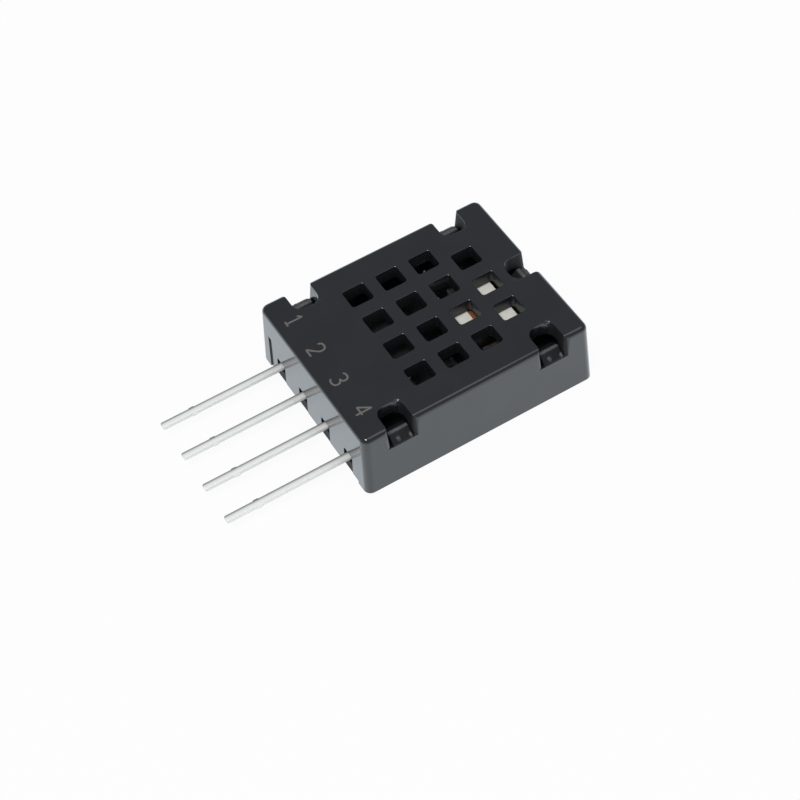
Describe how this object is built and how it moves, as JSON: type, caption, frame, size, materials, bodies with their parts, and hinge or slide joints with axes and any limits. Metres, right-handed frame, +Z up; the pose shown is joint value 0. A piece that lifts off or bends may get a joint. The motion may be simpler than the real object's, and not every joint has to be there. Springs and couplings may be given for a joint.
{
  "type": "temperature humidity sensor module",
  "caption": "Small black sensor module: a vented rectangular housing with a clipped-in back cover, sensing parts on a circuit board inside, and a row of flat pins along one end",
  "frame": {"origin": "centre of the flat back face, on the surface the module lies on", "axes": "+X across the width, +Y along the length away from the pins, +Z up through the vented face"},
  "size_m": [0.012, 0.0228, 0.0045],
  "materials": {
    "black_plastic": "moulded, glossy black",
    "back_plastic": "moulded, satin black",
    "solder_mask": "dark green lacquer on glass fibre board",
    "tinned_metal": "bright tin plating",
    "solder": "satin solder",
    "white_ceramic": "matte off-white ceramic",
    "sensing_film": "smooth brown polymer film",
    "chip_resin": "matte black moulded resin",
    "capacitor_ceramic": "matte tan ceramic",
    "resistor_glass": "smooth black glaze",
    "thermistor_ceramic": "matte dark ceramic"
  },
  "bodies": {
    "root": {"back_cover": "back_plastic", "capacitor_1": "capacitor_ceramic", "capacitor_2": "capacitor_ceramic", "capacitor_3": "capacitor_ceramic", "capacitor_4": "capacitor_ceramic", "circuit_board": "solder_mask", "front_cover": "black_plastic", "humidity_sensor": "white_ceramic", "microcontroller": "chip_resin", "pin_1": "tinned_metal", "pin_2": "tinned_metal", "pin_3": "tinned_metal", "pin_4": "tinned_metal", "resistor_1": "resistor_glass", "resistor_2": "resistor_glass", "resistor_3": "resistor_glass", "resistor_4": "resistor_glass", "sensing_film": "sensing_film", "solder_joint_1": "solder", "solder_joint_2": "solder", "solder_joint_3": "solder", "solder_joint_4": "solder", "temperature_sensor": "thermistor_ceramic"}
  },
  "joints": []
}
